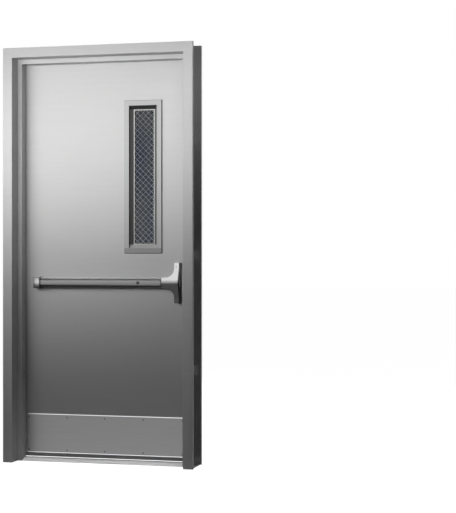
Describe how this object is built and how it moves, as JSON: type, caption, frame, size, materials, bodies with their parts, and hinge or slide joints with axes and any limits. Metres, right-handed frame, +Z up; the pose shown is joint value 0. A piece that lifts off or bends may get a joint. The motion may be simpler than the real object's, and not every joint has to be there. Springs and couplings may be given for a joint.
{
  "type": "steel utility door",
  "caption": "Flush steel door with a narrow wired-glass lite, touch-bar exit device, kick plate and aluminium threshold, hung in a pressed-steel frame.",
  "frame": {"origin": "underside of the hinge jamb floor anchor, at its middle, on the floor", "axes": "+X across the opening from the hinge jamb to the strike jamb, +Y through the wall from the push side to the pull side, +Z up"},
  "size_m": [1.016, 0.1924, 2.1336],
  "materials": {
    "frame_paint": "satin grey enamel",
    "anchor_steel": "dull galvanised",
    "threshold_aluminium": "mill extruded",
    "door_paint": "satin grey enamel",
    "core_board": "plain kraft board",
    "lite_paint": "satin grey enamel",
    "glazing_tape": "pale foam tape",
    "wired_glass": "clear with wire mesh",
    "kick_steel": "satin stainless",
    "hinge_steel": "satin plated",
    "bar_steel": "satin stainless",
    "pad_steel": "satin stainless",
    "cast_metal": "silver enamel on a casting",
    "latch_steel": "plain machined"
  },
  "bodies": {
    "frame": {"hinge_jamb": "frame_paint", "strike_jamb": "frame_paint", "frame_head": "frame_paint", "floor_anchor_hinge": "anchor_steel", "floor_anchor_strike": "anchor_steel", "wall_anchors_hinge": "anchor_steel", "wall_anchors_strike": "anchor_steel", "hinge_backings_frame": "anchor_steel", "strike_backing": "anchor_steel", "threshold": "threshold_aluminium", "hinge_low_frame_leaf": "hinge_steel", "hinge_low_pin": "hinge_steel", "hinge_mid_frame_leaf": "hinge_steel", "hinge_mid_pin": "hinge_steel", "hinge_top_frame_leaf": "hinge_steel", "hinge_top_pin": "hinge_steel", "rim_strike": "latch_steel"},
    "leaf": {"push_skin": "door_paint", "pull_skin": "door_paint", "top_channel": "anchor_steel", "bottom_channel": "anchor_steel", "door_core": "core_board", "hinge_backings_leaf": "anchor_steel", "lite_frame_push": "lite_paint", "lite_frame_pull": "lite_paint", "glazing_tape_push": "glazing_tape", "glazing_tape_pull": "glazing_tape", "wired_glass": "wired_glass", "kick_plate": "kick_steel", "hinge_low_door_leaf": "hinge_steel", "hinge_mid_door_leaf": "hinge_steel", "hinge_top_door_leaf": "hinge_steel", "bar_housing": "bar_steel", "pad_guide_pins": "latch_steel", "dogging_socket": "latch_steel", "bar_end_cap": "cast_metal", "latch_case_cover": "cast_metal", "latch_chassis": "latch_steel", "latch_bolt": "latch_steel"},
    "bar": {"touch_pad": "pad_steel"}
  },
  "joints": [
    {"name": "door_swing", "type": "hinge", "parent": "frame", "child": "leaf", "pos_m": [0.0298, 0.0969, 0], "axis": [0, 0, 1], "range_deg": [0, 180]},
    {"name": "pad_press", "type": "slide", "parent": "leaf", "child": "bar", "axis": [0, 1, 0], "range_m": [0, 0.014], "stiffness_N_per_m": 1500}
  ]
}
